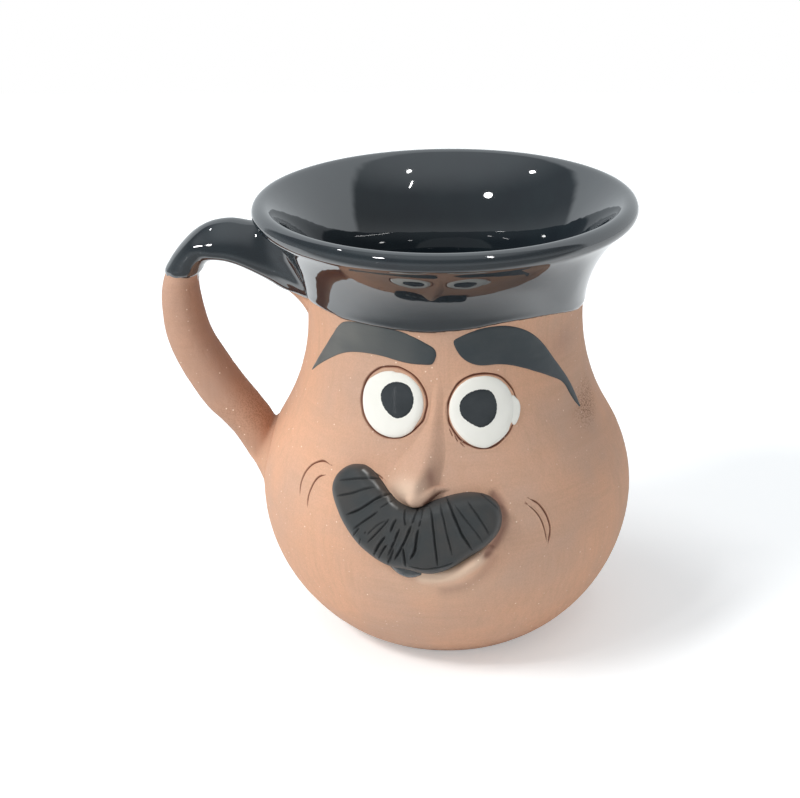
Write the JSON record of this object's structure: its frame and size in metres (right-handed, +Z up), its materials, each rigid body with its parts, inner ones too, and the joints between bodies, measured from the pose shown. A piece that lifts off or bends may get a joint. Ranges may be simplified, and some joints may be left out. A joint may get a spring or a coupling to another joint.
{
  "type": "clay mug",
  "caption": "Bellied earthenware jarrito mug with a flared, black-glazed mouth, a pulled side handle and a modelled cartoon face with brows, disc eyes, nose and moustache.",
  "frame": {"origin": "centre of the foot's flat underside", "axes": "+Z up out of the mouth, -Y out of the face, -X along the handle"},
  "size_m": [0.1165, 0.0972, 0.11],
  "materials": {
    "clay": "matte, bare fired earthenware",
    "luting_slip": "matte",
    "black_glaze": "gloss",
    "dark_slip": "satin",
    "white_glaze": "gloss",
    "iris_glaze": "gloss"
  },
  "bodies": {
    "root": {"body": "clay", "handle": "clay", "handle_top_luting": "luting_slip", "handle_foot_luting": "luting_slip", "glaze_lining": "black_glaze", "glaze_collar": "black_glaze", "glaze_handle": "black_glaze", "nose": "clay", "moustache": "dark_slip", "mouth": "iris_glaze", "lower_lip": "clay", "brow_left": "dark_slip", "brow_right": "dark_slip", "eye_white_left": "white_glaze", "eye_white_right": "white_glaze", "iris_left": "iris_glaze", "iris_right": "iris_glaze"}
  },
  "joints": []
}
